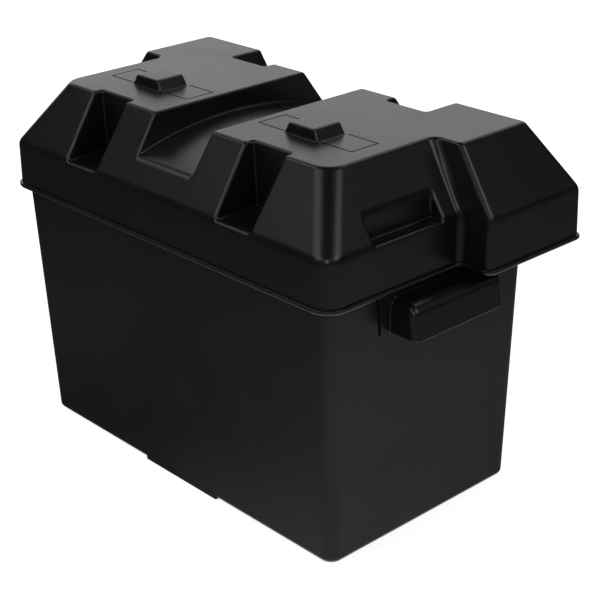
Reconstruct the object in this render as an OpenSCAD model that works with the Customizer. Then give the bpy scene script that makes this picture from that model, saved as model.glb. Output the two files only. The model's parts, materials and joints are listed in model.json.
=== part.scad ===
// Vented battery box with a six-cell deep cycle battery inside.
// Frame: X along the long side, -Y is the long front face, Z up,
// z = 0 is the underside of the foot pad. All lengths are millimetres.

/* [Base] */
// length of the tub outside, at the bottom
base_length = 336.4; // [334:0.1:360]
// width of the tub outside, at the bottom
base_width = 185.8; // [178:0.1:200]
// height of the tub rim above the ground
base_height = 206; // [190:1:220]
// extra half-length of the tub at its rim, from the mould draft
draft_x = 6.4; // [2:0.1:7]
// extra half-width of the tub at its rim
draft_y = 4.5; // [1:0.1:6]
// wall of the tub and of the lid
wall = 2.5; // [2:0.1:3]
// vertical corner radius of the tub
base_corner = 10; // [8:1:20]
// half-length of the foot pad under the tub
foot_half = 42.6; // [30:0.1:60]
// how far the foot pad stands below the tub
foot_height = 0.8; // [0.5:0.1:3]
// radius of the rounded bottom edge
bottom_round = 4; // [2:0.5:6]
// half-width of each end handle
handle_half = 44.2; // [30:0.1:46]
// how far the handles sit behind the middle of the tub
handle_mid = 3.5; // [0:0.5:3.5]
// underside of the end handle
handle_low = 166; // [150:0.5:180]
// top of the end handle
handle_high = 191; // [185:0.5:195]
// reach of the end handle from the middle of the tub
handle_reach = 198.7; // [190:0.1:210]

/* [Lid] */
// underside of the lid edge
lid_low = 198; // [190:0.1:200]
// level where the upright skirt turns into the slope
shoulder = 234.3; // [220:0.1:245]
// level of the same turn on the rear bulges
bulge_shoulder = 236.5; // [225:0.5:250]
// level of the two flat plateaus
plateau = 281.7; // [270:0.1:295]
// half-length of the skirt
skirt_x = 179.8; // [179:0.1:190]
// front of the skirt, measured from the middle
skirt_front = 103; // [102.8:0.1:112]
// back of the skirt, measured from the middle
skirt_back = 107.4; // [100:0.1:115]
// vertical corner radius of the skirt
skirt_corner = 14; // [10:1:20]
// half-length of the plateaus
top_x = 148.6; // [140:0.1:160]
// front edge of the plateaus
top_front = 71.1; // [60:0.1:80]
// back edge of the plateaus
top_back = 73.5; // [60:0.1:80]
// half-length over the rear bulges
bulge_x = 206.7; // [195:0.1:215]
// half-length of the bulges at plateau level
bulge_top_x = 172.7; // [165:0.1:180]
// back of the bulges at the skirt
bulge_back = 116.1; // [108:0.1:120]
// back of the bulges at plateau level
bulge_top_back = 94.4; // [85:0.1:100]
// half-width of the strap channel
channel_half = 31.5; // [20:0.5:40]
// level of the crown of the strap channel
channel_crown = 267; // [260:0.5:275]
// radius of the arched channel floor
channel_radius = 300; // [200:10:500]
// middle of each finger pocket along the lid
pocket_x = 87; // [75:0.5:95]
// half-width of each finger pocket
pocket_half = 17.6; // [12:0.1:24]
// back wall of the front pockets
pocket_front = 64.5; // [55:0.5:70]
// inner wall of the back pockets
pocket_back = 63.8; // [55:0.1:70]
// middle of each raised bump along the lid
bump_x = 86; // [75:0.5:95]
// height of the raised bump on each plateau
bump_height = 8; // [4:0.5:10]

/* [Battery] */
// length of the battery
bat_length = 329; // [300:1:329]
// width of the battery
bat_width = 172; // [165:1:174]
// height of the battery to the top of its cover
bat_height = 213; // [200:1:216]
// height of the container below the cover
case_height = 190; // [180:1:195]
// wall of the container
case_wall = 4; // [3:0.5:5]
// partition between two cells
partition = 2.5; // [2:0.1:3]
// radius of the vent barrels' wells in the cover
well_r = 9; // [7:0.5:12]
// running clearance of the barrels, pins and nuts
gap = 0.05; // [0.02:0.01:0.1]

/* [Plates] */
// positive plates in one cell
pos_count = 5; // [3:1:6]
// thickness of a positive plate
pos_thick = 3.4; // [2:0.1:4]
// thickness of a negative plate
neg_thick = 2.4; // [1.5:0.1:3]
// thickness of a separator
sep_thick = 1.5; // [1:0.1:2]
// width of a plate
plate_width = 150; // [140:1:156]
// height of a plate
plate_height = 132; // [120:1:145]

/* [Hidden] */

eps = 0.01;
hx = base_length / 2;
hy = base_width / 2;
floor_z = 4;
wall_low = foot_height + bottom_round;
handle_round = 8;
handle_corner = 6.5;
handle_lean = 4;
handle_root = 172.4;
slot_y = 53.7;
slot_lean = 7.1;
slot_width = 2.2;
slot_floor_x = 171.8;
top_hx = hx + draft_x;
top_hy = hy + draft_y;
rim_half_x = 176;
rim_half_y = 100;
rim_low = 201;
rim_corner = 11;
bead = 2.2;
bead_height = 3.6;
top_corner = 14.5;
notch_front = 60;
notch_back = 4;
rest = base_height;
bulge_corner = 5;
bulge_inner_x = 104;
bulge_front = 20;
bulge_top_front = 26.3;
bump_y = -25.2;

bx = bat_length / 2;
by = bat_width / 2;
case_top = floor_z + case_height;
cover_top = floor_z + bat_height;
inner_x = bx - case_wall;
inner_y = by - case_wall;
cells = 6;
// keeps faces that touch from overlapping
hair = 0.01;
cell_pitch = (2 * inner_x + partition) / cells;
cell_width = cell_pitch - partition;
plate_low = floor_z + case_wall + 8;
plate_high = plate_low + plate_height;
lug_y = 50;
lug_size = 9;
strap_low = plate_high + 8;
strap_high = strap_low + 7;
vent_y = -22;
post_x = 126;
post_y = 50;
stud_x = 150;
pad_high = cover_top + 5;
pin_r = 3;
pivot_y = 8;
pivot_z = cover_top + 6;
arm_reach = 30;
arm_x = 66;
grip_r = 4;
nut_low = pad_high + 2;

function cell_x(i) = inner_x + partition / 2 - cell_pitch * (i + 0.5);
function side(i) = (i % 2 == 0) ? 1 : -1;

// rounded rectangle between two corners
module rr(x0, x1, y0, y1, r) {
    translate([x0 + r, y0]) square([x1 - x0 - 2 * r, y1 - y0]);
    translate([x0, y0 + r]) square([x1 - x0, y1 - y0 - 2 * r]);
    for (x = [x0 + r, x1 - r], y = [y0 + r, y1 - r])
        translate([x, y]) circle(r, $fn = 40);
}

// thin slab of a rounded rectangle, used as a hull level
module level(x0, x1, y0, y1, r, z)
    translate([0, 0, z]) linear_extrude(eps) rr(x0, x1, y0, y1, r);

module both() { children(); mirror([1, 0, 0]) children(); }

// ---- tub ----

module tub_solid(inset, low, high) {
    hull() {
        level(-hx + inset, hx - inset, -hy + inset, hy - inset,
            base_corner - inset, low);
        level(-top_hx + inset, top_hx - inset, -top_hy + inset,
            top_hy - inset, base_corner - inset, high - eps);
    }
}

// side view of a ledge that leans back and has a rounded upper edge
module handle_profile(back, reach, low, high, half, r)
    translate([0, half, 0]) rotate([90, 0, 0]) linear_extrude(2 * half)
        polygon(concat([[back, low], [reach, low]],
            [for (a = [0 : 15 : 90]) [reach - handle_lean - r + r * cos(a),
                high - r + r * sin(a)]],
            [[back, high]]));

module end_handle() difference() {
    intersection() {
        handle_profile(handle_root, handle_reach, handle_low, handle_high,
            handle_half, handle_round);
        linear_extrude(base_height)
            rr(handle_root - 20, handle_reach + eps, -handle_half,
                handle_half, handle_corner);
    }
    handle_profile(handle_root + wall, handle_reach - wall,
        handle_low - 5, handle_high - wall, handle_half - wall,
        handle_round - wall);
}

module base_box() color([0.09, 0.09, 0.1]) difference() {
    union() {
        difference() {
            union() {
                tub_solid(0, wall_low, base_height);
                // rounded bottom edge
                hull() for (a = [0, 30, 60, 90]) {
                    in = bottom_round * (1 - sin(a));
                    level(-hx + in, hx - in, -hy + in, hy - in,
                        base_corner - in,
                        foot_height + bottom_round * (1 - cos(a)));
                }
                translate([0, 0, rim_low])
                    linear_extrude(base_height - rim_low)
                    rr(-rim_half_x, rim_half_x, -rim_half_y, rim_half_y,
                        rim_corner);
                // the foot pad is as wide as the tub
                translate([-foot_half, -hy, 0])
                    cube([2 * foot_half, base_width, wall_low]);
            }
            tub_solid(wall, floor_z, base_height + 1);
        }
        translate([0, handle_mid, 0]) both() end_handle();
    }
    // thin upright grooves beside each handle
    for (m = [0, 1], n = [0, 1])
        translate([0, handle_mid, 0]) mirror([m, 0, 0]) mirror([0, n, 0])
        translate([slot_floor_x, slot_y, handle_low + 0.5])
            rotate([-slot_lean, 0, 0])
            translate([0, -slot_width / 2, 0]) cube([10, slot_width, 30]);
}

// ---- lid ----

// upright skirt, then a hull up to the flat top; bulge adds the rear ones
module skirt(x0, x1, y0, y1, r, low, high)
    translate([0, 0, low]) linear_extrude(high - low) rr(x0, x1, y0, y1, r);

// inset 0 is the outside, inset = wall is the hollow
module lid_body(inset, low, top) {
    s = inset * 0.55;
    turn = shoulder - inset / 3;
    bulge_turn = bulge_shoulder - inset / 3;
    skirt(-skirt_x + inset, skirt_x - inset, -skirt_front + inset,
        skirt_back - inset, skirt_corner - inset, low, turn);
    hull() {
        level(-skirt_x + inset, skirt_x - inset, -skirt_front + inset,
            skirt_back - inset, skirt_corner - inset, turn - eps);
        level(-top_x + s, top_x - s, -top_front + s, top_back - s,
            top_corner - s, top - eps);
    }
    both() {
        skirt(bulge_inner_x + 2 * inset, bulge_x - inset,
            bulge_front + inset, bulge_back - inset, bulge_corner - inset,
            low, bulge_turn);
        hull() {
            level(bulge_inner_x + 2 * inset, bulge_x - inset,
                bulge_front + inset, bulge_back - inset,
                bulge_corner - inset, bulge_turn - eps);
            level(bulge_inner_x + 2 * inset, bulge_top_x - s,
                bulge_top_front + 0.8 * inset, bulge_top_back - s,
                bulge_corner - 1 - s, top - eps);
        }
    }
}

// pockets, end notches and strap channel, grown by g on every wall
module lid_cuts(g) {
    w = pocket_half + g;
    for (m = [0, 1]) mirror([m, 0, 0]) {
        for (y = [-130, pocket_back - g])
            translate([0, y == -130 ? -pocket_front + g : 130, 0])
            rotate([90, 0, 0])
            linear_extrude(130 - (y == -130 ? pocket_front : pocket_back) + g)
            polygon([[pocket_x - w, shoulder - g], [pocket_x + w, shoulder - g],
                [pocket_x + w + 2.4, 300], [pocket_x - w - 2.4, 300]]);
        translate([167.4 - g, -notch_front - g, shoulder - g])
            cube([30, notch_front + notch_back + 2 * g, 60]);
    }
    difference() {
        translate([-channel_half - g, -130, 240])
            cube([2 * (channel_half + g), 260, 60]);
        translate([-60, 0, channel_crown - channel_radius])
            rotate([0, 90, 0])
            cylinder(r = channel_radius - g, h = 120, $fn = 240);
    }
}

module bump(size, top_size, low, h)
    both() translate([bump_x, bump_y, low])
        linear_extrude(h, scale = [top_size[0] / size[0],
            top_size[1] / size[1]]) square(size, center = true);

module lid() color([0.1, 0.1, 0.11]) {
    difference() {
        union() {
            lid_body(0, lid_low, plateau);
            translate([0, 0, lid_low]) linear_extrude(bead_height) {
                rr(-skirt_x - bead, skirt_x + bead, -skirt_front - bead,
                    skirt_back + bead, skirt_corner + bead);
                both() rr(bulge_inner_x - bead, bulge_x + bead,
                    bulge_front - bead, bulge_back + bead,
                    bulge_corner + bead);
            }
            bump([33.6, 26.4], [25.2, 24.8], plateau - eps,
                bump_height + eps);
        }
        lid_cuts(0);
        difference() {
            union() {
                lid_body(wall, lid_low - 5, plateau - wall);
                bump([27.6, 20.4], [19.2, 18.8], plateau - wall - 0.1,
                    bump_height);
            }
            lid_cuts(wall);
        }
        // thin engraved outline round each bump
        both() translate([0, 0, plateau - 0.5]) linear_extrude(1)
            difference() {
                translate([39.7, -36.5]) square([93.8, 26]);
                translate([40.7, -35.5]) square([91.8, 24]);
                translate([67.5, -40]) square([37, 40]);
            }
    }
    // ribs that rest on the tub rim
    for (x = [-140, -50, 50, 140])
        translate([x - 1.5, -skirt_front + 1, rest])
            cube([3, 10, 22]);
    for (x = [-50, 0, 50])
        translate([x - 1.5, 94, rest]) cube([3, 12, 22]);
    for (y = [-80, -10]) both()
        translate([171, y, rest]) cube([7, 3, 20]);
}

// ---- container and plate packs ----

module battery_case() color([0.14, 0.14, 0.15]) {
    difference() {
        translate([0, 0, floor_z]) linear_extrude(case_height)
            rr(-bx, bx, -by, by, 6);
        for (i = [0 : cells - 1])
            translate([cell_x(i) - cell_width / 2, -inner_y,
                floor_z + case_wall])
                cube([cell_width, 2 * inner_y, case_height]);
        // slots in the partitions for the cell connectors
        for (i = [0 : cells - 2])
            translate([cell_x(i) - cell_pitch / 2, -side(i) * lug_y,
                strap_high + 6])
                rotate([0, 90, 0]) cylinder(r = 5, h = 10, center = true,
                    $fn = 40);
    }
    // low ribs that carry the plates
    for (i = [0 : cells - 1], y = [-45, 45])
        translate([cell_x(i) - cell_width / 2 - eps, y - 2,
            floor_z + case_wall - eps])
            cube([cell_width + 2 * eps, 4, 8 + eps]);
}

// one plate: body and lug
module plate(x, thick, lug_side) {
    translate([x - thick / 2, -plate_width / 2, plate_low])
        cube([thick, plate_width, plate_height]);
    translate([x - thick / 2, lug_side * lug_y - lug_size / 2,
        plate_high - eps])
        cube([thick, lug_size, 8 + eps]);
}

pitch = pos_thick + neg_thick + 2 * sep_thick;

module positive_plates() color([0.36, 0.24, 0.18])
    for (i = [0 : cells - 1], k = [0 : pos_count - 1])
        plate(cell_x(i) + (k - (pos_count - 1) / 2) * pitch, pos_thick,
            side(i));

module negative_plates() color([0.45, 0.46, 0.48])
    for (i = [0 : cells - 1], k = [0 : pos_count])
        plate(cell_x(i) + (k - pos_count / 2) * pitch, neg_thick, -side(i));

module separators() color([0.85, 0.84, 0.8])
    for (i = [0 : cells - 1], k = [0 : pos_count - 1], s = [-1, 1])
        translate([cell_x(i) + (k - (pos_count - 1) / 2) * pitch
            + s * (pos_thick + sep_thick) / 2 - sep_thick / 2 + hair,
            -plate_width / 2 - 3, plate_low])
            cube([sep_thick - 2 * hair, plate_width + 6, plate_height + 3]);

// bar over the lugs with a riser to the partition weld
module strap_bar(i, s, weld) {
    translate([cell_x(i) - 22.5, s * lug_y - 9, strap_low])
        cube([45, 18, strap_high - strap_low]);
    if (weld != 0)
        translate([cell_x(i) + weld * (cell_width / 2 - 6) - 3,
            s * lug_y - 8, strap_high - eps])
            cube([6, 16, 12]);
}

module positive_straps() color([0.5, 0.51, 0.54])
    for (i = [0 : cells - 1])
        strap_bar(i, side(i), i == 0 ? 0 : 1);

module negative_straps() color([0.47, 0.48, 0.51])
    for (i = [0 : cells - 1])
        strap_bar(i, -side(i), i == cells - 1 ? 0 : -1);

// each weld is a short lead plug between two risers
module cell_connectors() color([0.55, 0.56, 0.58])
    for (i = [0 : cells - 2])
        translate([cell_x(i) - cell_pitch / 2, -side(i) * lug_y,
            strap_high + 6])
            rotate([0, 90, 0])
            cylinder(r = 5, h = partition + 6 - 2 * hair, center = true,
                $fn = 40);

// ---- cover ----

module battery_cover() color([0.13, 0.13, 0.14]) {
    difference() {
        union() {
            translate([0, 0, case_top]) linear_extrude(cover_top - case_top)
                rr(-bx, bx, -by, by, 6);
            // lugs that hold the carry handle's pins
            both() translate([arm_x + 4, pivot_y - 6, cover_top - eps])
                cube([8, 12, 6]);
            both() translate([arm_x + 4, pivot_y, pivot_z])
                rotate([0, 90, 0]) cylinder(r = 6, h = 8, $fn = 48);
        }
        for (i = [0 : cells - 1])
            translate([cell_x(i) - cell_width / 2, -inner_y, case_top - 1])
                cube([cell_width, 2 * inner_y, 16]);
        for (i = [0 : cells - 1])
            translate([cell_x(i), vent_y, case_top])
                cylinder(r = well_r, h = 60, $fn = 64);
        both() translate([post_x, post_y, case_top])
            cylinder(r = 9, h = 60, $fn = 64);
        both() translate([arm_x + 3, pivot_y, pivot_z])
            rotate([0, 90, 0]) cylinder(r = pin_r + gap, h = 10, $fn = 48);
        // shallow moulded groove just inside the cover edge
        translate([0, 0, cover_top - 1.2]) linear_extrude(2) difference() {
            rr(-bx + 3, bx - 3, -by + 3, by - 3, 5);
            rr(-bx + 5, bx - 5, -by + 5, by - 5, 4);
        }
    }
}

// ---- vent caps ----

module vent_cap(first) color([0.1, 0.1, 0.11]) {
    x0 = cell_x(first);
    difference() {
        union() {
            translate([0, 0, cover_top + 1]) linear_extrude(7)
                rr(x0 - 2 * cell_pitch - 15, x0 + 15, vent_y - 15,
                    vent_y + 15, 5);
            translate([0, 0, cover_top + 8 - eps]) linear_extrude(2 + eps)
                rr(x0 - 2 * cell_pitch - 11, x0 + 11, vent_y - 11,
                    vent_y + 11, 4);
            // pull tabs at both ends
            for (x = [x0 + 14, x0 - 2 * cell_pitch - 18])
                translate([x, vent_y - 6, cover_top + 5])
                    cube([4, 12, 3]);
            for (k = [0 : 2])
                translate([x0 - k * cell_pitch, vent_y, cover_top - 14])
                    cylinder(r = well_r - gap, h = 16, $fn = 64);
        }
        for (k = [0 : 2]) {
            translate([x0 - k * cell_pitch, vent_y, cover_top - 15])
                cylinder(r = 6, h = 20, $fn = 48);
            // small breather hole over each barrel
            translate([x0 - k * cell_pitch + 9, vent_y - 20,
                cover_top + 4.5])
                rotate([-90, 0, 0]) cylinder(r = 0.8, h = 21, $fn = 24);
        }
    }
}

module gaskets(first) color([0.05, 0.05, 0.05])
    for (k = [0 : 2])
        translate([cell_x(first) - k * cell_pitch, vent_y, cover_top])
            difference() {
                cylinder(r = 12, h = 1, $fn = 64);
                translate([0, 0, -1])
                    cylinder(r = well_r - gap, h = 3, $fn = 64);
            }

module discs(first) color([0.75, 0.74, 0.7])
    for (k = [0 : 2])
        translate([cell_x(first) - k * cell_pitch, vent_y, cover_top - 12])
            cylinder(r = 6, h = 3, $fn = 48);

module vent_cap_right() vent_cap(0);
module vent_cap_left() vent_cap(3);
module vent_gaskets_right() gaskets(0);
module vent_gaskets_left() gaskets(3);
module flame_discs_right() discs(0);
module flame_discs_left() discs(3);

// ---- terminals ----

// lead pad with a post and the riser down to the last strap
module terminal(post_r) {
    difference() {
        union() {
            translate([0, 0, cover_top]) linear_extrude(5)
                rr(post_x - 14, stud_x + 12, post_y - 12, post_y + 12, 5);
            translate([post_x, post_y, pad_high - eps])
                cylinder(r1 = post_r + 0.9, r2 = post_r, h = 16, $fn = 64);
            translate([post_x, post_y, pad_high + 16 - 2 * eps])
                cylinder(r1 = post_r, r2 = post_r - 1, h = 1, $fn = 64);
            translate([post_x, post_y, strap_high])
                cylinder(r = 9, h = cover_top + 1 - strap_high, $fn = 64);
        }
        translate([stud_x, post_y, cover_top + 1])
            cylinder(r = 4, h = 20, $fn = 48);
    }
}

module terminal_positive() color([0.58, 0.59, 0.62]) terminal(8.75);
module terminal_negative() color([0.58, 0.59, 0.62])
    mirror([1, 0, 0]) terminal(7.95);

module ring(r) translate([post_x, post_y, pad_high]) difference() {
    cylinder(r = 12, h = 1.5, $fn = 64);
    translate([0, 0, -1]) cylinder(r = r + 0.95, h = 4, $fn = 64);
}

module polarity_ring_positive() color([0.7, 0.06, 0.05]) ring(8.75);
module polarity_ring_negative() color([0.03, 0.03, 0.03])
    mirror([1, 0, 0]) ring(7.95);

module stud() translate([stud_x, post_y, cover_top + 1]) {
    cylinder(r = 4, h = 21.5, $fn = 48);
    translate([0, 0, 21.5 - eps]) cylinder(r1 = 4, r2 = 3.2, h = 1, $fn = 48);
}

module stud_positive() color([0.75, 0.76, 0.78]) stud();
module stud_negative() color([0.75, 0.76, 0.78]) mirror([1, 0, 0]) stud();

// split spring washer
module washer() translate([stud_x, post_y, pad_high]) difference() {
    cylinder(r = 7.4, h = 2, $fn = 64);
    translate([0, 0, -1]) cylinder(r = 4.2, h = 4, $fn = 48);
    rotate([0, 0, 40]) translate([0, -0.4, -1]) cube([10, 0.8, 4]);
}

module lock_washer_positive() color([0.7, 0.71, 0.73]) washer();
module lock_washer_negative() color([0.7, 0.71, 0.73])
    mirror([1, 0, 0]) washer();

module wing_nut() translate([stud_x, post_y, nut_low]) difference() {
    union() {
        cylinder(r1 = 7.5, r2 = 6, h = 7, $fn = 64);
        for (a = [0, 180]) rotate([0, 0, a + 35])
            translate([0, 1.5, 0]) rotate([90, 0, 0]) linear_extrude(3) {
                polygon([[3, 1.5], [7, 1.5], [13, 8], [13, 13],
                    [9.5, 14], [6, 6.5], [5, 6.5]]);
                translate([11, 11]) circle(3, $fn = 32);
            }
    }
    translate([0, 0, -1]) cylinder(r = 4 + gap, h = 30, $fn = 64);
}

module wing_nut_positive() color([0.72, 0.73, 0.75]) wing_nut();
module wing_nut_negative() color([0.72, 0.73, 0.75])
    mirror([1, 0, 0]) wing_nut();

// ---- carry handle ----

module carry_handle() color([0.1, 0.1, 0.11]) {
    both() {
        // arm
        translate([arm_x - 4, pivot_y, pivot_z - 3.5])
            cube([7.6, arm_reach, 7]);
        translate([arm_x - 4, pivot_y, pivot_z])
            rotate([0, 90, 0]) cylinder(r = 5, h = 7.6, $fn = 48);
        // pivot pin
        translate([arm_x + 3, pivot_y, pivot_z])
            rotate([0, 90, 0]) cylinder(r = pin_r, h = 8.5, $fn = 48);
    }
    // cross bar
    translate([-arm_x - 3.6, pivot_y + arm_reach, pivot_z])
        rotate([0, 90, 0])
        cylinder(r = grip_r, h = 2 * (arm_x + 3.6), $fn = 48);
}

module handle_grip() color([0.2, 0.2, 0.21])
    translate([-50, pivot_y + arm_reach, pivot_z]) rotate([0, 90, 0])
        difference() {
            cylinder(r = 5.6, h = 100, $fn = 48);
            translate([0, 0, -1]) cylinder(r = grip_r, h = 102, $fn = 48);
        }

base_box();
lid();
battery_case();
battery_cover();
vent_cap_left();
vent_cap_right();
vent_gaskets_left();
vent_gaskets_right();
flame_discs_left();
flame_discs_right();
terminal_positive();
terminal_negative();
polarity_ring_positive();
polarity_ring_negative();
stud_positive();
stud_negative();
lock_washer_positive();
lock_washer_negative();
wing_nut_positive();
wing_nut_negative();
carry_handle();
handle_grip();
positive_plates();
negative_plates();
separators();
positive_straps();
negative_straps();
cell_connectors();
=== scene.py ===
"""Battery box with a deep cycle battery inside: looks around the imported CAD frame."""

import json
import math

import bmesh
import bpy
import numpy as np
from mathutils import Matrix, Vector


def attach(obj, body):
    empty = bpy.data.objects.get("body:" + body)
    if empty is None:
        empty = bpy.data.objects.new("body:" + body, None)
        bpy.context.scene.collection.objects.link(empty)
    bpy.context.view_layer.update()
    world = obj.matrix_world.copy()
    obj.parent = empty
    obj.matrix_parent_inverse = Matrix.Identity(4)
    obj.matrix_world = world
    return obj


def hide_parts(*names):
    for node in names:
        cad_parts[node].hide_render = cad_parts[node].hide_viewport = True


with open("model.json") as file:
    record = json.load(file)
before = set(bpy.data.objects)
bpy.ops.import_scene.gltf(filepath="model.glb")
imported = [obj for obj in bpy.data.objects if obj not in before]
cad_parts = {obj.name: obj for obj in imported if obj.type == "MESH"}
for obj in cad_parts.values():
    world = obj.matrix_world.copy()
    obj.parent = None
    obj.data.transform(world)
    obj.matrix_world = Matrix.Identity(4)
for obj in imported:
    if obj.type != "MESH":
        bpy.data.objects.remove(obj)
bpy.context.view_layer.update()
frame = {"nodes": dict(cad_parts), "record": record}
MM = 0.001

# ---------------------------------------------------------------- sizes, mm
LID = dict(
    low=198.0, wall=2.5, shoulder=234.3, bulge_shoulder=236.5, top=281.7,
    draft=0.03,                                 # lean of the skirt and channel walls
    skirt=(179.8, -103.0, 107.4, 14.0),         # half length, front, back, corner
    flat=(148.6, -71.1, 73.5, 14.5),
    bulge_skirt=(206.7, 20.0, 116.1, 5.0),
    bulge_flat=(172.7, 26.3, 94.4, 4.0),
    bulge_inner=104.0, bulge_fillet=6.0, inner_round=3.0,
    pocket=(87.0, 17.6, 2.4, -64.5, 63.8),      # middle, half width, flare, front, back
    pocket_high=65.0,                           # height over which the pocket flares
    notch=(167.4, -28.0, 32.0),                 # back wall, middle, half width
    channel=(31.5, 267.0, 300.0),               # half width, crown, radius
    mouth=(78.0, 0.002),                        # start and sharpness of the roll-off
    bump=(86.0, -25.2, 16.8, 13.2, 12.6, 12.4, 8.0),  # middle, foot, top, height
    # brackets round a bump: ends in x, ends in y, the gap between them, width, depth
    outline=(39.7, 133.5, -36.5, -10.5, 67.5, 104.5, 1.3, 0.9),
)
# rounding of the lid's edges, and of the corners where one shape meets the next
SOFT = dict(slope=2.0, top=1.6, smallest=2.0, pocket=2.0, pocket_floor=2.5, pocket_rim=2.4,
            notch=2.0, notch_floor=1.5, notch_rim=2.2, channel=1.8, channel_rim=2.0,
            bump=1.4, bump_top=1.3, bump_foot=0.8, inside=0.6, rib=0.3, rib_foot=0.8)
SKIRT_INSET = 0.25                              # makes up for the rounding's bulge
BUMP_LEAN = 0.85                                # distance to a bump's sloping end
RIB_HALF_HIGH = 10.0
BEAD = dict(out=2.2, high=3.6, edge=2.0, top_edge=0.6, embed=1.3, drop=0.02, root=0.3)
TUB = dict(half=(168.2, 92.9), draft=(6.4, 4.5), corner=10.0, low=0.8, round=4.0,
           wall=2.5, floor=4.0, rim=206.0, rim_low=201.0, rim_half=(176.0, 100.0),
           rim_corner=11.0, rim_edge=0.8, inner_round=3.0)
FOOT = dict(half=42.6, high=4.8, proud=0.04, corner=0.5)
HANDLE = dict(reach=198.7, lean=4.0, slant=0.986, low=166.0, high=191.0, half=44.2,
              middle=3.5, corner=5.5, top_round=8.0, wall=2.5, back=174.9, low_edge=0.2,
              inner_edge=0.4, inner_corner=1.2, fillet=0.7)
PATCH = dict(half=47.0, low=160.0, high=196.0, deep=1.6, proud=0.03)  # wall round a handle
SLOT = dict(floor=171.8, y=53.7, lean=7.1, width=2.2, low=166.5, long=30.0, deep=10.0)
REST_Z = 206.0                                  # top of the tub's rim
# middle x and y, half length and half width of each rib inside the lid
LID_RIBS = [(-140, -97.0, 1.5, 5.0), (-50, -97.0, 1.5, 5.0), (50, -97.0, 1.5, 5.0),
            (140, -97.0, 1.5, 5.0), (-50, 100.0, 1.5, 6.0), (0, 100.0, 1.5, 6.0),
            (50, 100.0, 1.5, 6.0), (-174.5, -78.5, 3.5, 1.5), (174.5, -78.5, 3.5, 1.5),
            (-174.5, -8.5, 3.5, 1.5), (174.5, -8.5, 3.5, 1.5)]


# ------------------------------------------------- distance field shape tools
def smax(a, b, r):
    """Intersection of two distances with a rounded edge of radius r."""
    u, v = np.maximum(r + a, 0), np.maximum(r + b, 0)
    return np.minimum(-r, np.maximum(a, b)) + np.sqrt(u * u + v * v)


def smin(a, b, r):
    """Union of two distances with a fillet of radius r."""
    return -smax(-a, -b, r)


def rounded_rect(x, y, half_x, y0, y1, r):
    """2-D distance to a rounded rectangle from -half_x to half_x and y0 to y1."""
    qx = np.abs(x) - half_x + r
    qy = np.abs(y - (y0 + y1) / 2) - (y1 - y0) / 2 + r
    outside = np.sqrt(np.maximum(qx, 0) ** 2 + np.maximum(qy, 0) ** 2)
    return outside + np.minimum(np.maximum(qx, qy), 0) - r


def box_distance(x, y, z, centre, half, r):
    """Distance to a box with rounded edges."""
    q = [np.abs(v - c) - h + r for v, c, h in zip((x, y, z), centre, half)]
    outside = np.sqrt(sum(np.maximum(v, 0) ** 2 for v in q))
    return outside + np.minimum(np.maximum(np.maximum(q[0], q[1]), q[2]), 0) - r


def sloped_block(x, y, z, skirt, flat, turn, top, soft):
    """Upright skirt up to turn, then straight slopes in to the flat top's outline."""
    share = np.clip((top - z) / (top - turn), -0.4, 2.0)
    size = [f + (s - f) * share for s, f in zip(skirt, flat)]
    size[3] = np.maximum(size[3], SOFT["smallest"])
    lean = math.cos(math.atan((skirt[0] - flat[0]) / (top - turn)))
    slope = rounded_rect(x, y, *size) * lean
    side = rounded_rect(x, y, *skirt) + LID["draft"] * (z - turn) / 2
    return smax(side + SKIRT_INSET, slope, soft)


def channel_floor(y):
    """Level of the strap channel's floor: an arch that rolls off at both mouths."""
    _, crown, radius = LID["channel"]
    start, sharp = LID["mouth"]
    arch = crown - radius + np.sqrt(np.maximum(radius ** 2 - y ** 2, 1.0))
    roll = np.maximum(np.abs(y) - start, 0.0)
    return arch - sharp * roll ** 2


def lid_body(x, y, z):
    """Outside of the lid, without edge bead, bumps or engraving, open at the bottom."""
    x = np.abs(x)
    shoulder, top = LID["shoulder"], LID["top"]
    body = sloped_block(x, y, z, LID["skirt"], LID["flat"], shoulder, top, SOFT["slope"])
    bulge = sloped_block(x, y, z, LID["bulge_skirt"], LID["bulge_flat"],
                         LID["bulge_shoulder"], top, SOFT["slope"])
    bulge = smax(bulge, LID["bulge_inner"] - x, LID["inner_round"])
    d = smax(smin(body, bulge, LID["bulge_fillet"]), z - top, SOFT["top"])
    middle, half, flare, front, back = LID["pocket"]
    width = np.abs(x - middle) - half - flare * (z - shoulder) / LID["pocket_high"]
    for wall in (y - front, back - y):
        pocket = smax(width, wall, SOFT["pocket"])
        pocket = smax(pocket, shoulder - z, SOFT["pocket_floor"])
        d = smax(d, -pocket, SOFT["pocket_rim"])
    wall, centre, half = LID["notch"]
    notch = smax(wall - x, np.abs(y - centre) - half, SOFT["notch"])
    notch = smax(notch, shoulder - z, SOFT["notch_floor"])
    d = smax(d, -notch, SOFT["notch_rim"])
    half = LID["channel"][0] - LID["draft"] * (top - z)
    channel = smax(x - half, channel_floor(y) - z, SOFT["channel"])
    return smax(d, -channel, SOFT["channel_rim"])


def lid_bump(x, y, z):
    """The tapered bumps on the two plateaus."""
    middle_x, middle_y, foot_x, foot_y, top_x, top_y, high = LID["bump"]
    rise = np.clip((z - LID["top"]) / high, -0.5, 1.5)
    end = np.abs(np.abs(x) - middle_x) - foot_x + (foot_x - top_x) * rise
    side = np.abs(y - middle_y) - foot_y + (foot_y - top_y) * rise
    bump = smax(end * BUMP_LEAN, side, SOFT["bump"])
    return smax(bump, z - LID["top"] - high, SOFT["bump_top"])


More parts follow.
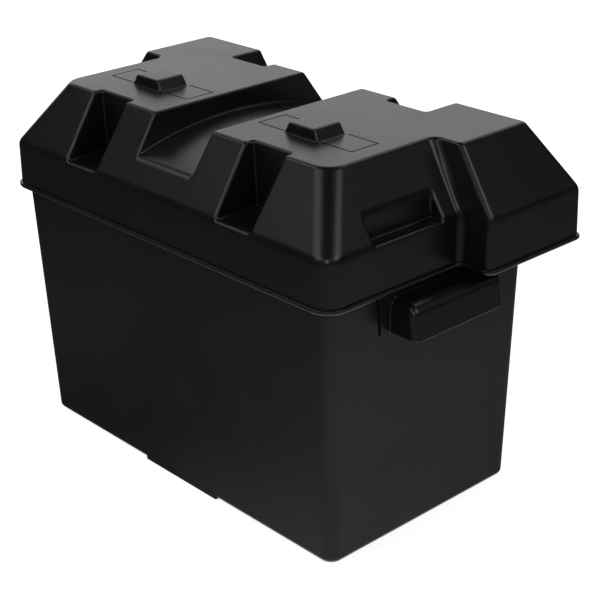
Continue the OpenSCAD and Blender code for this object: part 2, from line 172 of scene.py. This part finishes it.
def lid_solid(x, y, z):
    """The whole lid as one wall of even thickness, with its bumps and ribs."""
    body = lid_body(x, y, z)
    d = smin(body, lid_bump(x, y, z), SOFT["bump_foot"])
    d = smax(d, -(body + LID["wall"]), SOFT["inside"])
    for middle_x, middle_y, half_x, half_y in LID_RIBS:
        centre = (middle_x, middle_y, REST_Z + RIB_HALF_HIGH)
        rib = box_distance(x, y, z, centre, (half_x, half_y, RIB_HALF_HIGH), SOFT["rib"])
        d = smin(d, rib, SOFT["rib_foot"])
    return np.maximum(d, LID["low"] - z)


def sample(field, low, step, count):
    """Field values on a grid; only blocks near the surface are worked out finely."""
    count = [4 * ((c + 3) // 4) for c in count]
    coarse = [low[i] + step * (4 * np.arange(count[i] // 4) + 1.5) for i in range(3)]
    grid = np.meshgrid(*coarse, indexing="ij")
    middle = field(*grid).astype(np.float32)
    values = np.repeat(np.repeat(np.repeat(middle, 4, 0), 4, 1), 4, 2)
    near = np.argwhere(np.abs(middle) < 5.5 * step)
    offset = np.stack(np.meshgrid(*[np.arange(4)] * 3, indexing="ij"), -1).reshape(-1, 3)
    for part in np.array_split(near, max(1, len(near) // 20000)):
        node = (part[:, None, :] * 4 + offset[None]).reshape(-1, 3)
        point = node * step + np.array(low)
        value = field(point[:, 0], point[:, 1], point[:, 2])
        values[node[:, 0], node[:, 1], node[:, 2]] = value
    return values


def surface_net(values, low, step):
    """Vertices and quads of the zero surface of a grid of values."""
    inside = values < 0
    shape = values.shape
    cells = [s - 1 for s in shape]
    total = np.zeros(cells, np.uint8)
    corner = [(i, j, k) for i in (0, 1) for j in (0, 1) for k in (0, 1)]
    for i, j, k in corner:
        total += inside[i:i + cells[0], j:j + cells[1], k:k + cells[2]]
    active = np.argwhere((total > 0) & (total < 8))
    index = -np.ones(cells, np.int32)
    index[active[:, 0], active[:, 1], active[:, 2]] = np.arange(len(active))
    found = np.zeros((len(active), 3))
    number = np.zeros(len(active))
    for a in corner:
        for axis in range(3):
            if a[axis]:
                continue
            b = list(a)
            b[axis] = 1
            va = values[tuple((active + a).T)]
            vb = values[tuple((active + b).T)]
            cross = (va < 0) != (vb < 0)
            share = np.where(cross, va / np.where(cross, va - vb, 1), 0)
            point = np.array(a, float)[None] + share[:, None] * np.eye(3)[axis]
            found += point * cross[:, None]
            number += cross
    vertex = (active + found / number[:, None]) * step + np.array(low)
    quads = []
    for axis in range(3):
        u, v = (axis + 1) % 3, (axis + 2) % 3
        first = [slice(None)] * 3
        second = [slice(None)] * 3
        first[axis], second[axis] = slice(0, -1), slice(1, None)
        changes = inside[tuple(first)] != inside[tuple(second)]
        where = np.argwhere(changes)
        keep = (where[:, u] > 0) & (where[:, v] > 0)
        keep &= (where[:, u] < cells[u]) & (where[:, v] < cells[v])
        where = where[keep]
        ring = []
        for du, dv in ((-1, -1), (0, -1), (0, 0), (-1, 0)):
            cell = where.copy()
            cell[:, u] += du
            cell[:, v] += dv
            ring.append(index[tuple(cell.T)])
        quad = np.stack(ring, 1)
        flip = ~inside[tuple(where.T)]
        quad[flip] = quad[flip][:, ::-1]
        quads.append(quad)
    return vertex, np.concatenate(quads)


def gradient(field, point, reach):
    """How fast the field rises along each axis, one vector a point."""
    out = np.zeros_like(point)
    for axis in range(3):
        a, b = point.copy(), point.copy()
        a[:, axis] += reach
        b[:, axis] -= reach
        out[:, axis] = field(*a.T) - field(*b.T)
    return out / (2 * reach)


def field_normal(field, point):
    """Unit vectors straight out of the field's surface."""
    normal = gradient(field, point, 0.25)
    return normal / np.maximum(np.linalg.norm(normal, axis=1), 1e-9)[:, None]


def settle(field, point, step, rounds=2):
    """Moves points onto the zero surface."""
    for _ in range(rounds):
        slope = gradient(field, point, 0.2)
        size = np.maximum((slope ** 2).sum(1), 0.2)
        move = (field(*point.T) / size)[:, None] * slope
        length = np.maximum(np.linalg.norm(move, axis=1), 1e-9)
        point = point - move * np.minimum(1, 0.6 * step / length)[:, None]
    return point


def mesh_from(name, vertex, faces):
    """A mesh from millimetre vertices and a list or array of faces."""
    mesh = bpy.data.meshes.new(name)
    mesh.from_pydata((np.asarray(vertex) * MM).tolist(), [], [list(map(int, f)) for f in faces])
    mesh.update()
    return mesh


def add_object(name, mesh):
    obj = bpy.data.objects.new(name, mesh)
    bpy.context.scene.collection.objects.link(obj)
    return obj


def baked(obj):
    """Replaces obj's mesh with the result of its modifiers."""
    graph = bpy.context.evaluated_depsgraph_get()
    mesh = bpy.data.meshes.new_from_object(obj.evaluated_get(graph))
    obj.modifiers.clear()
    obj.data = mesh
    return obj


def field_object(name, field, low, high, step, keep, mirrored=False):
    """Meshes a distance field, thins flat areas, and takes its shading from the field."""
    if mirrored:
        low = (0.0, low[1], low[2])
    count = [int((h - l) / step) + 2 for l, h in zip(low, high)]
    values = sample(field, low, step, count)
    if mirrored:
        values = np.concatenate([values[:0:-1], values], 0)
        low = (-(values.shape[0] // 2) * step, low[1], low[2])
    vertex, quads = surface_net(values, low, step)
    vertex = settle(field, vertex, step)
    obj = add_object(name, mesh_from(name, vertex, quads))
    if keep < 1:
        thin = obj.modifiers.new("thin", "DECIMATE")
        thin.ratio = keep
        baked(obj)
    point = np.zeros(len(obj.data.vertices) * 3)
    obj.data.vertices.foreach_get("co", point)
    obj.data.shade_smooth()
    normal = field_normal(field, point.reshape(-1, 3) / MM)
    obj.data.normals_split_custom_set_from_vertices(normal.tolist())
    return obj


# ---------------------------------------------------------------- swept shapes
def loop(corners, out=0.0, steps=10):
    """Points of a closed outline with square corners, each (x, y, radius)."""
    points = []
    number = len(corners)
    for i, (x, y, r) in enumerate(corners):
        corner = np.array((x, y))
        into = corner - np.array(corners[i - 1][:2])
        away = np.array(corners[(i + 1) % number][:2]) - corner
        into, away = into / np.abs(into).sum(), away / np.abs(away).sum()
        convex = into[0] * away[1] - into[1] * away[0] > 0
        moved = corner + out * np.array((into[1] + away[1], -into[0] - away[0]))
        radius = r + out if convex else r - out
        centre = moved - radius * into + radius * away
        for t in np.linspace(0, math.pi / 2, steps + 1):
            points.append(centre + radius * (into * math.sin(t) - away * math.cos(t)))
    return np.array(points)


def loft(name, rings, closed=False):
    """Quads between rings of equal length; closed joins the last ring to the first."""
    size = len(rings[0])
    vertex = np.concatenate(rings)
    faces = []
    for k in range(len(rings) - (0 if closed else 1)):
        a, b = k * size, ((k + 1) % len(rings)) * size
        for i in range(size):
            j = (i + 1) % size
            faces.append((a + i, a + j, b + j, b + i))
    if not closed:
        faces.append(tuple(reversed(range(size))))
        faces.append(tuple(range(len(vertex) - size, len(vertex))))
    return add_object(name, mesh_from(name, vertex, faces))


def ring(corners, out, z, steps=10):
    """One loft ring: an outline at a height."""
    flat = loop(corners, out, steps)
    return np.column_stack([flat, np.full(len(flat), z)])


def rectangle(half_x, half_y, r):
    return [(-half_x, -half_y, r), (half_x, -half_y, r), (half_x, half_y, r),
            (-half_x, half_y, r)]


def arc(start, end, r, steps=5):
    """Pairs (r cos, r sin) from one angle in degrees to another."""
    return [(r * math.cos(math.radians(t)), r * math.sin(math.radians(t)))
            for t in np.linspace(start, end, steps + 1)]


def weighted(obj, angle=40):
    """Smooth shading that keeps flat faces flat and edges over angle sharp."""
    obj.data.shade_smooth()
    sharp = np.zeros(len(obj.data.edges), bool)
    bm = bmesh.new()
    bm.from_mesh(obj.data)
    bm.edges.ensure_lookup_table()
    for i, edge in enumerate(bm.edges):
        if len(edge.link_faces) == 2 and edge.calc_face_angle(0) > math.radians(angle):
            sharp[i] = True
    bm.free()
    layer = obj.data.attributes.get("sharp_edge")
    if layer is None:
        layer = obj.data.attributes.new("sharp_edge", "BOOLEAN", "EDGE")
    layer.data.foreach_set("value", sharp)
    fix = obj.modifiers.new("weighted", "WEIGHTED_NORMAL")
    fix.keep_sharp = True
    fix.weight = 80
    return baked(obj)


def cut(obj, cutter):
    """Takes the cutter's volume out of obj."""
    knife = obj.modifiers.new("cut", "BOOLEAN")
    knife.operation = "DIFFERENCE"
    knife.object = cutter
    knife.solver = "EXACT"
    baked(obj)
    bpy.data.objects.remove(cutter)
    return obj


def mirror_copy(obj, name):
    """The same shape on the other side of the box, with its own shading."""
    mesh = obj.data.copy()
    normal = np.zeros(len(mesh.loops) * 3)
    mesh.corner_normals.foreach_get("vector", normal)
    mesh.transform(Matrix.Scale(-1, 4, (1, 0, 0)))
    start = np.zeros(len(mesh.polygons), np.int32)
    total = np.zeros(len(mesh.polygons), np.int32)
    mesh.polygons.foreach_get("loop_start", start)
    mesh.polygons.foreach_get("loop_total", total)
    normal = normal.reshape(-1, 3) * (-1, 1, 1)
    order = np.concatenate([[a] + list(range(a + n - 1, a, -1)) for a, n in zip(start, total)])
    mesh.flip_normals()
    mesh.normals_split_custom_set(normal[order].tolist())
    return add_object(name, mesh)


LID_DETAIL = ((1.0, 0.22))
HANDLE_DETAIL = ((0.6, 0.5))
# corners of the space that is meshed, mm
LID_SPACE = ((0, -112, 194), (213, 121, 294))
HANDLE_SPACE = ((168, -46, 157), (202, 54, 199))
MARGIN = 0.01                                   # for telling a groove's own faces, mm


def engrave(obj):
    """Cuts the brackets either side of each bump as fine grooves, keeping the shading."""
    x0, x1, y0, y1, gap0, gap1, line, deep = LID["outline"]
    top = LID["top"]
    vertex, faces = [], []
    for x, inner, gap in ((x0, x0 + line, gap0), (x1, x1 - line, gap1)):
        path = [(x, y0), (gap, y0), (gap, y0 + line), (inner, y0 + line),
                (inner, y1 - line), (gap, y1 - line), (gap, y1), (x, y1)]
        for side_x in (-1, 1):
            turned = path if (gap > x) == (side_x > 0) else path[::-1]
            start, number = len(vertex), len(path)
            vertex += [(side_x * u, v, z) for z in (top - deep, top + 1) for u, v in turned]
            faces.append(tuple(start + i for i in reversed(range(number))))
            faces.append(tuple(start + number + i for i in range(number)))
            for i in range(number):
                j = (i + 1) % number
                faces.append((start + i, start + j, start + number + j, start + number + i))
    cut(obj, add_object("groove", mesh_from("groove", vertex, faces)))
    mesh = obj.data
    point = np.zeros(len(mesh.vertices) * 3)
    mesh.vertices.foreach_get("co", point)
    smooth = field_normal(lid_solid, point.reshape(-1, 3) / MM)
    corner = np.zeros(len(mesh.loops), np.int32)
    mesh.loops.foreach_get("vertex_index", corner)
    normal = smooth[corner]
    for face in mesh.polygons:
        x, y, z = face.center / MM
        if (top - deep - MARGIN < z < top - MARGIN and x0 - MARGIN < abs(x) < x1 + MARGIN
                and y0 - MARGIN < y < y1 + MARGIN):
            for k in face.loop_indices:
                normal[k] = face.normal
    mesh.shade_smooth()
    mesh.normals_split_custom_set(normal.tolist())


def lid_shell():
    """The moulded lid, from the bead's underside up."""
    obj = field_object("lid_shell", lid_solid, *LID_SPACE, *LID_DETAIL, mirrored=True)
    engrave(obj)
    return obj


def lid_edge():
    """Corners of the lid's outline, counter-clockwise from the front left."""
    x, front, back, r = LID["skirt"]
    bulge_x, bulge_front, bulge_back, bulge_r = LID["bulge_skirt"]
    fillet, inner, inner_r = LID["bulge_fillet"], LID["bulge_inner"], LID["inner_round"]
    right = [(x, front, r), (x, bulge_front, fillet), (bulge_x, bulge_front, bulge_r),
             (bulge_x, bulge_back, bulge_r), (inner, bulge_back, inner_r),
             (inner, back, fillet)]
    return right + [(-x, y, r) for x, y, r in reversed(right)]


def lid_bead():
    """The ledge round the lid's lower edge."""
    low, high = LID["low"], LID["low"] + BEAD["high"]
    out, edge, top_edge, embed = BEAD["out"], BEAD["edge"], BEAD["top_edge"], BEAD["embed"]
    section = [(-embed, low - BEAD["drop"]), (out - edge, low - BEAD["drop"])]
    section += [(out - edge + u, low + edge + v) for u, v in arc(-80, 0, edge, 8)]
    section += [(out - top_edge + u, high - top_edge + v) for u, v in arc(0, 80, top_edge)]
    section += [(BEAD["root"], high), (-embed, high)]
    rings = [ring(lid_edge(), out, z, 8) for out, z in section]
    return weighted(loft("lid_bead", rings[::-1], closed=True), 50)


# ---------------------------------------------------------------- the tub
def tub_wall_x(z):
    """Where the outside of the tub's end wall stands at a height."""
    start = TUB["low"] + TUB["round"]
    return TUB["half"][0] + TUB["draft"][0] * (z - start) / (TUB["rim"] - start)


def wall_ring(z, inset, level=None):
    """The drafted wall's outline at height z, moved in, and lifted to level if given."""
    start = TUB["low"] + TUB["round"]
    share = (z - start) / (TUB["rim"] - start)
    half = [h + d * share for h, d in zip(TUB["half"], TUB["draft"])]
    return ring(rectangle(*half, TUB["corner"]), -inset, z if level is None else level)


def tub_rings():
    """Outlines from the bottom up the outside, over the rim and down the inside."""
    bottom, rim, wall, edge = TUB["round"], TUB["rim"], TUB["wall"], TUB["rim_edge"]
    start, rim_low = TUB["low"] + bottom, TUB["rim_low"]
    rings = [wall_ring(start, bottom - u, start + v) for u, v in arc(-90, 0, bottom, 6)]
    for below, out in ((1.2, 0), (0.35, 0.35), (0, 1.2)):
        rings.append(wall_ring(rim_low - below, -out))
    outline = rectangle(*TUB["rim_half"], TUB["rim_corner"])
    for middle, begin in ((rim_low + edge, -90), (rim - edge, 0)):
        rings += [ring(outline, u - edge, middle + v)
                  for u, v in arc(begin, begin + 90, edge, 3)]
    for below, out in ((0, 0.7), (0.2, 0.2), (0.8, 0)):
        rings.append(wall_ring(rim - below, wall + out))
    turn = TUB["inner_round"]
    inner = TUB["floor"] + turn
    return rings + [wall_ring(inner, wall + turn - u, inner + v)
                    for u, v in arc(0, -90, turn, 5)]


def leaning_box(x, y, z, size, lean, name):
    """Cutter for a slot: outwards from x, centred on y, up from z, leaning in y."""
    vertex = []
    for dz in (0, size[2]):
        for dx, dy in ((0, -0.5), (1, -0.5), (1, 0.5), (0, 0.5)):
            shift = dz * math.sin(math.radians(lean))
            vertex.append((x + dx * size[0], y + dy * size[1] + shift, z + dz))
    faces = [(3, 2, 1, 0), (4, 5, 6, 7), (0, 1, 5, 4), (1, 2, 6, 5), (2, 3, 7, 6),
             (3, 0, 4, 7)]
    if size[0] < 0:
        faces = [f[::-1] for f in faces]
    return add_object(name, mesh_from(name, vertex, faces))


def tub_shell():
    """Drafted tub with a turned-out rim and a fine slot each side of both handles."""
    obj = loft("tub_shell", tub_rings())
    for side_x in (-1, 1):
        for side_y in (-1, 1):
            knife = leaning_box(side_x * SLOT["floor"],
                                HANDLE["middle"] + side_y * SLOT["y"], SLOT["low"],
                                (side_x * SLOT["deep"], SLOT["width"], SLOT["long"]),
                                side_y * SLOT["lean"], "slot")
            cut(obj, knife)
    return weighted(obj)


def foot_pad():
    """Pad under the middle of the tub, just proud of its long sides."""
    outline = rectangle(FOOT["half"], TUB["half"][1] + FOOT["proud"], FOOT["corner"])
    levels = ((0, -0.4), (0.1, -0.1), (0.4, 0), (FOOT["high"] - 0.1, 0))
    return weighted(loft("foot_pad", [ring(outline, out, z, 2) for z, out in levels]))


def handle_solid(x, y, z):
    """The hollow ledge handle at the right end, grown onto the wall with a fillet."""
    h = HANDLE
    y = y - h["middle"]
    reach = h["reach"] - h["lean"] * (z - h["low"]) / (h["high"] - h["low"])
    outer = smax((x - reach) * h["slant"], np.abs(y) - h["half"], h["corner"])
    outer = smax(outer, z - h["high"], h["top_round"])
    hollow = smax(outer + h["wall"], h["back"] - x, h["inner_corner"])
    d = smax(smax(outer, h["low"] - z, h["low_edge"]), -hollow, h["inner_edge"])
    wall = x - tub_wall_x(z)
    d = smin(d, wall + PATCH["proud"], h["fillet"])
    patch = np.maximum(np.abs(y) - PATCH["half"], PATCH["low"] - z)
    patch = np.maximum(patch, z - PATCH["high"])
    return np.maximum(np.maximum(d, patch), -wall - PATCH["deep"])


def end_handles():
    """The handle at the right end and its mirror image at the left."""
    near = field_object("end_handle_right", handle_solid, *HANDLE_SPACE, *HANDLE_DETAIL)
    return near, mirror_copy(near, "end_handle_left")


lid_pieces = (lid_shell(), lid_bead())
tub_pieces = (tub_shell(), foot_pad(), *end_handles())
for obj in lid_pieces:
    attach(obj, "lid")
    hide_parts("lid")
for obj in tub_pieces:
    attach(obj, "tub")
    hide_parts("base_box")


# ---------------------------------------------------------------- materials
def noise(n, link, place, scale, detail=3):
    """Noise texture on object coordinates."""
    node = n.new("ShaderNodeTexNoise")
    node.inputs["Scale"].default_value = scale
    node.inputs["Detail"].default_value = detail
    link.new(place, node.inputs["Vector"])
    return node.outputs["Fac"]


def remap(n, link, value, low, high, start=0.3, end=0.7, kind="LINEAR"):
    """Value between start and end, mapped to low and high."""
    node = n.new("ShaderNodeMapRange")
    node.interpolation_type = kind
    for key, number in (("From Min", start), ("From Max", end), ("To Min", low),
                        ("To Max", high)):
        node.inputs[key].default_value = number
    link.new(value, node.inputs["Value"])
    return node.outputs["Result"]


def blend_math(n, link, operation, a, b=None, c=None):
    """One math node; inputs are sockets or numbers."""
    node = n.new("ShaderNodeMath")
    node.operation = operation
    for i, value in enumerate((a, b, c)):
        if isinstance(value, (int, float)):
            node.inputs[i].default_value = value
        elif value is not None:
            link.new(value, node.inputs[i])
    return node.outputs[0]


def vector_math(n, link, operation, a, b=None):
    """One vector math node; b is a plain vector."""
    node = n.new("ShaderNodeVectorMath")
    node.operation = operation
    link.new(a, node.inputs[0])
    if b is not None:
        node.inputs[1].default_value = b
    return node.outputs


def mixed(n, link, share, first, second):
    """Shader that goes from first to second as share goes from 0 to 1."""
    node = n.new("ShaderNodeMixShader")
    for i, value in enumerate((share, first, second)):
        link.new(value, node.inputs[i])
    return node.outputs[0]


def surface(name, dark, light, rough, grain, bump, metallic=0.0, patch=14.0,
            depth=0.0002, stretch=(1, 1, 1), pattern="NOISE", spread=0.05):
    """Material with two mixed tones, uneven gloss and a fine relief."""
    m = bpy.data.materials.new(name)
    m.use_nodes = True
    n, link = m.node_tree.nodes, m.node_tree.links
    shader = n["Principled BSDF"]
    shader.inputs["Metallic"].default_value = metallic
    place = n.new("ShaderNodeTexCoord").outputs["Object"]
    broad = noise(n, link, place, patch, 4)
    tone = n.new("ShaderNodeMix")
    tone.data_type = "RGBA"
    tone.inputs[6].default_value = (*dark, 1)
    tone.inputs[7].default_value = (*light, 1)
    link.new(remap(n, link, broad, 0, 1, 0.35, 0.65), tone.inputs[0])
    link.new(tone.outputs[2], shader.inputs["Base Color"])
    link.new(remap(n, link, broad, rough - spread, rough + spread),
             shader.inputs["Roughness"])
    scaled = vector_math(n, link, "MULTIPLY", place, stretch)["Vector"]
    if pattern == "NOISE":
        height = noise(n, link, scaled, grain)
    elif pattern == "CELLS":
        cells = n.new("ShaderNodeTexVoronoi")
        cells.inputs["Scale"].default_value = grain
        link.new(scaled, cells.inputs["Vector"])
        height = cells.outputs["Distance"]
    else:
        wave = n.new("ShaderNodeTexWave")
        wave.bands_direction = pattern
        wave.inputs["Scale"].default_value = grain
        wave.inputs["Distortion"].default_value = 0.4
        link.new(scaled, wave.inputs["Vector"])
        height = wave.outputs["Fac"]
    relief = n.new("ShaderNodeBump")
    relief.inputs["Strength"].default_value = bump
    relief.inputs["Distance"].default_value = depth
    link.new(height, relief.inputs["Height"])
    link.new(relief.outputs["Normal"], shader.inputs["Normal"])
    return m


MATERIALS = {
    "box_plastic": surface("box_plastic", (0.0055, 0.0055, 0.006), (0.0075, 0.0075, 0.008),
                           0.3, 1500, 0.12, patch=20, spread=0.03),
    "case_plastic": surface("case_plastic", (0.022, 0.022, 0.024), (0.03, 0.03, 0.032),
                            0.42, 900, 0.35),
    "cover_plastic": surface("cover_plastic", (0.016, 0.016, 0.018), (0.024, 0.024, 0.026),
                             0.36, 1100, 0.3),
    "cap_plastic": surface("cap_plastic", (0.009, 0.009, 0.01), (0.014, 0.014, 0.015),
                           0.3, 1400, 0.25),
    "seal_rubber": surface("seal_rubber", (0.007, 0.007, 0.007), (0.012, 0.012, 0.012),
                           0.62, 700, 0.4),
    "grip_rubber": surface("grip_rubber", (0.016, 0.016, 0.017), (0.024, 0.024, 0.025),
                           0.55, 260, 0.6, pattern="X", depth=0.0004),
    "porous_disc": surface("porous_disc", (0.55, 0.54, 0.5), (0.7, 0.69, 0.65),
                           0.8, 900, 0.6, pattern="CELLS"),
    "lead": surface("lead", (0.2, 0.205, 0.22), (0.36, 0.365, 0.38), 0.42, 240, 0.35,
                    metallic=0.9, patch=60, spread=0.1),
    "positive_paste": surface("positive_paste", (0.06, 0.028, 0.018), (0.1, 0.05, 0.03),
                              0.82, 330, 0.7, patch=40, pattern="Z", depth=0.0004),
    "negative_paste": surface("negative_paste", (0.13, 0.135, 0.145), (0.2, 0.205, 0.22),
                              0.7, 330, 0.6, metallic=0.3, patch=40, pattern="Z",
                              depth=0.0004),
    "separator_sheet": surface("separator_sheet", (0.6, 0.59, 0.53), (0.7, 0.69, 0.64),
                               0.75, 200, 0.6, patch=30, pattern="Y", depth=0.0004),
    "steel": surface("steel", (0.46, 0.46, 0.47), (0.58, 0.58, 0.59), 0.24, 300, 0.15,
                     metallic=1.0, patch=80, stretch=(1, 1, 6)),
    "ring_red": surface("ring_red", (0.36, 0.008, 0.008), (0.46, 0.014, 0.012), 0.28,
                        900, 0.2),
    "ring_black": surface("ring_black", (0.008, 0.008, 0.009), (0.013, 0.013, 0.014),
                          0.28, 900, 0.2),
}
for obj in lid_pieces + tub_pieces:
    obj.data.materials.clear()
    obj.data.materials.append(MATERIALS["box_plastic"])
SLOTS = {entry["node"]: entry["material_slot"] for entry in frame["record"]["subparts"]}
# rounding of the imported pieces' edges, mm
BEVEL = {"case_plastic": 0.8, "cover_plastic": 0.7, "cap_plastic": 0.6, "lead": 0.5,
         "steel": 0.25, "seal_rubber": 0.15, "ring_red": 0.3, "ring_black": 0.3}


def soften(obj, width):
    """Rounds obj's sharp edges by width."""
    edge = obj.modifiers.new("edge", "BEVEL")
    edge.width = width * MM
    edge.segments = 2
    edge.limit_method = "ANGLE"
    edge.angle_limit = math.radians(40)
    edge.use_clamp_overlap = True
    edge.harden_normals = True


for name, node in frame["nodes"].items():
    if node.hide_render:
        continue
    kind = SLOTS[name]
    node.data.materials.clear()
    node.data.materials.append(MATERIALS[kind])
    if kind in BEVEL:
        soften(node, BEVEL[kind])

# ---------------------------------------------------------------- floor, light, camera
FLOOR = dict(half=6.0, z=-0.0003, tone=0.9, rough=0.9, glow=0.8)
# what the black plastic sees of the floor: a painted pool of light to the right of the box,
# fading from near to far between start and end, painted shade close by, painted light from
# above
PAINTED_POOL = dict(near=0.42, far=0.22, start=0.35, end=0.75, toward=(0.94, -0.34, 0.0),
            behind=0.24, power=2.5, shade=0.55, shade_start=0.16, shade_end=0.36,
            steep=0.9, steep_start=0.6, steep_end=0.8)


def painted_pool_level(n, link):
    """How bright the painted pool of light and shade on the floor looks in the plastic at each
    place.
    """
    place = n.new("ShaderNodeTexCoord").outputs["Object"]
    length = vector_math(n, link, "LENGTH", place)["Value"]
    unit = vector_math(n, link, "NORMALIZE", place)["Vector"]
    along = vector_math(n, link, "DOT_PRODUCT", unit, PAINTED_POOL["toward"])["Value"]
    lobe = blend_math(n, link, "MULTIPLY_ADD", along, 0.5, 0.5)
    lobe = blend_math(n, link, "POWER", lobe, PAINTED_POOL["power"])
    lobe = blend_math(n, link, "MULTIPLY_ADD", lobe, 1 - PAINTED_POOL["behind"], PAINTED_POOL["behind"])
    reach = remap(n, link, length, PAINTED_POOL["near"], PAINTED_POOL["far"], PAINTED_POOL["start"], PAINTED_POOL["end"],
                  "SMOOTHSTEP")
    level = blend_math(n, link, "MULTIPLY", lobe, reach)
    # painted shade: the floor seen in the plastic is darker close to the box
    shade = remap(n, link, length, PAINTED_POOL["shade"], 1.0, PAINTED_POOL["shade_start"],
                  PAINTED_POOL["shade_end"])
    level = blend_math(n, link, "MULTIPLY", level, shade)
    # painted light: the floor seen by steep rays from above is brighter
    tilt = n.new("ShaderNodeSeparateXYZ")
    link.new(n.new("ShaderNodeNewGeometry").outputs["Incoming"], tilt.inputs[0])
    steep = remap(n, link, tilt.outputs["Z"], 0.0, PAINTED_POOL["steep"], PAINTED_POOL["steep_start"],
                  PAINTED_POOL["steep_end"])
    return blend_math(n, link, "ADD", level, steep)


def floor_material():
    """Pale matt floor; the plastic reflects it as a painted pool of light and shade, not as a
    white sheet.
    """
    m = bpy.data.materials.new("floor")
    m.use_nodes = True
    n, link = m.node_tree.nodes, m.node_tree.links
    pale = n["Principled BSDF"]
    pale.inputs["Base Color"].default_value = (*[FLOOR["tone"]] * 3, 1)
    pale.inputs["Roughness"].default_value = FLOOR["rough"]
    glow = n.new("ShaderNodeEmission")
    link.new(painted_pool_level(n, link), glow.inputs["Strength"])
    seen = n.new("ShaderNodeEmission")
    seen.inputs["Strength"].default_value = FLOOR["glow"]
    bright = n.new("ShaderNodeAddShader")
    link.new(pale.outputs[0], bright.inputs[0])
    link.new(seen.outputs[0], bright.inputs[1])
    path = n.new("ShaderNodeLightPath").outputs
    plain = mixed(n, link, path["Is Camera Ray"], pale.outputs[0], bright.outputs[0])
    whole = mixed(n, link, path["Is Glossy Ray"], plain, glow.outputs[0])
    link.new(whole, n["Material Output"].inputs["Surface"])
    return m


def studio_floor():
    """A flat sheet just under the foot pad."""
    half, z = FLOOR["half"], FLOOR["z"]
    mesh = bpy.data.meshes.new("floor")
    corners = [(-half, -half, z), (half, -half, z), (half, half, z), (-half, half, z)]
    mesh.from_pydata(corners, [], [(0, 1, 2, 3)])
    mesh.materials.append(floor_material())
    return add_object("floor", mesh)


studio_floor()

# direction to the middle of each soft light, inner and outer half angle, strength
SOFT_LIGHTS = [
    ((-0.70, 0.62, 0.36), 22, 40, 1.2),      # behind left: plateaus and bump tops
    ((-0.36, -0.70, 0.60), 8, 28, 1.3),      # left front: front slope
    ((0.63, 0.60, 0.50), 3, 15, 0.32),       # behind right: end slope
    ((-0.677, -0.3, 0.67), 4, 10, 3.0),      # bump front edges
    ((0.0, 0.609, 0.79), 4, 10, 3.0),        # bump right edges
    ((-0.09, -0.755, 0.649), 4, 12, 3.0),    # left line on the front corner
    ((0.742, 0.11, 0.652), 8, 19, 3.2),      # right line on the front corner
    ((0.56, -0.68, 0.47), 4, 9, 8.0),        # pocket and bulge edges
]
DIM = 0.03


def world_light():
    """White to the camera; dim with soft lights for everything the object reflects."""
    world = bpy.data.worlds.new("studio")
    bpy.context.scene.world = world
    world.use_nodes = True
    n, link = world.node_tree.nodes, world.node_tree.links
    n.clear()
    way = n.new("ShaderNodeTexCoord").outputs["Generated"]
    total = DIM
    for direction, inner, outer, strength in SOFT_LIGHTS:
        middle = Vector(direction).normalized()
        toward = vector_math(n, link, "DOT_PRODUCT", way, middle)["Value"]
        blob = remap(n, link, toward, 0.0, strength, math.cos(math.radians(outer)),
                     math.cos(math.radians(inner)), "SMOOTHSTEP")
        total = blend_math(n, link, "ADD", blob, total)
    choose = n.new("ShaderNodeMix")
    choose.data_type = "FLOAT"
    link.new(n.new("ShaderNodeLightPath").outputs["Is Camera Ray"], choose.inputs[0])
    link.new(total, choose.inputs[2])
    choose.inputs[3].default_value = 1.0
    sky = n.new("ShaderNodeBackground")
    link.new(choose.outputs[0], sky.inputs["Strength"])
    out = n.new("ShaderNodeOutputWorld")
    link.new(sky.outputs[0], out.inputs["Surface"])


# angles in degrees, lengths in metres; right and down move the aim across the view
CAMERA = dict(azimuth=48.076, elevation=24.284, roll=-1.319, distance=1.14911,
              aim_z=0.144, right=0.02609, down=0.02128, lens_mm=89.7126, sensor_mm=36)


def place_camera():
    """Camera at the photo's angle, aimed a little right of and below the middle."""
    azimuth, elevation, roll = (math.radians(CAMERA[key])
                                for key in ("azimuth", "elevation", "roll"))
    back = Vector((math.sin(azimuth) * math.cos(elevation),
                   -math.cos(azimuth) * math.cos(elevation), math.sin(elevation)))
    right = Vector((math.cos(azimuth), math.sin(azimuth), 0))
    up = back.cross(right)
    aim = Vector((0, 0, CAMERA["aim_z"])) + right * CAMERA["right"] - up * CAMERA["down"]
    data = bpy.data.cameras.new("camera")
    data.lens = CAMERA["lens_mm"]
    data.sensor_width = CAMERA["sensor_mm"]
    camera = bpy.data.objects.new("camera", data)
    bpy.context.scene.collection.objects.link(camera)
    turned_right = right * math.cos(roll) + up * math.sin(roll)
    turned_up = up * math.cos(roll) - right * math.sin(roll)
    axes = Matrix((turned_right, turned_up, back)).transposed().to_4x4()
    camera.matrix_world = Matrix.Translation(aim + back * CAMERA["distance"]) @ axes
    bpy.context.scene.camera = camera


world_light()
place_camera()
bpy.context.scene.view_settings.view_transform = "Standard"
